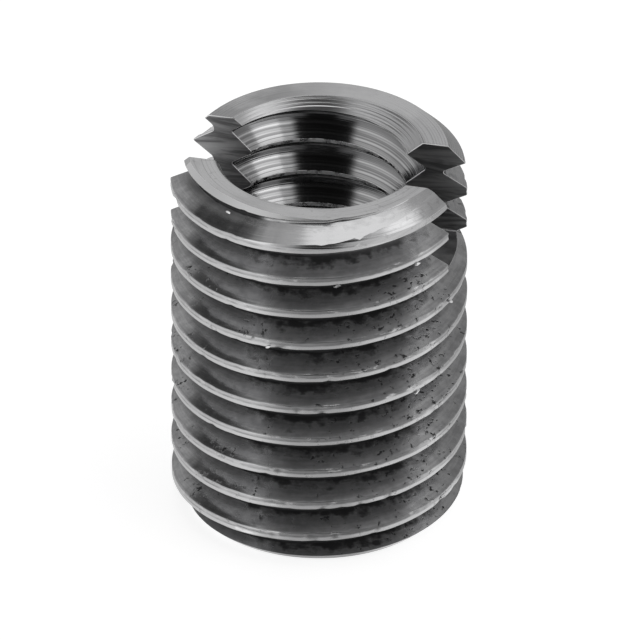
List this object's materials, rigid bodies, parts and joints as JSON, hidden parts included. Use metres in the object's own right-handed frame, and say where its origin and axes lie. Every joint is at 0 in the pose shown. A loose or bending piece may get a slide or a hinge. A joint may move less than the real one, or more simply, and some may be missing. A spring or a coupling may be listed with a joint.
{
  "type": "threaded insert",
  "caption": "Short cylindrical steel sleeve threaded on its outside and through its bore, with bevelled ends and a driver slot cut across the top.",
  "frame": {"origin": "middle of the plain bottom end face, on the thread axis", "axes": "+Z along the thread axis towards the slotted end, +X along the driver slot"},
  "size_m": [0.0078, 0.0078, 0.0105],
  "materials": {
    "steel": "turned and cut, lightly soiled"
  },
  "bodies": {
    "root": {"threaded_sleeve": "steel"}
  },
  "joints": []
}
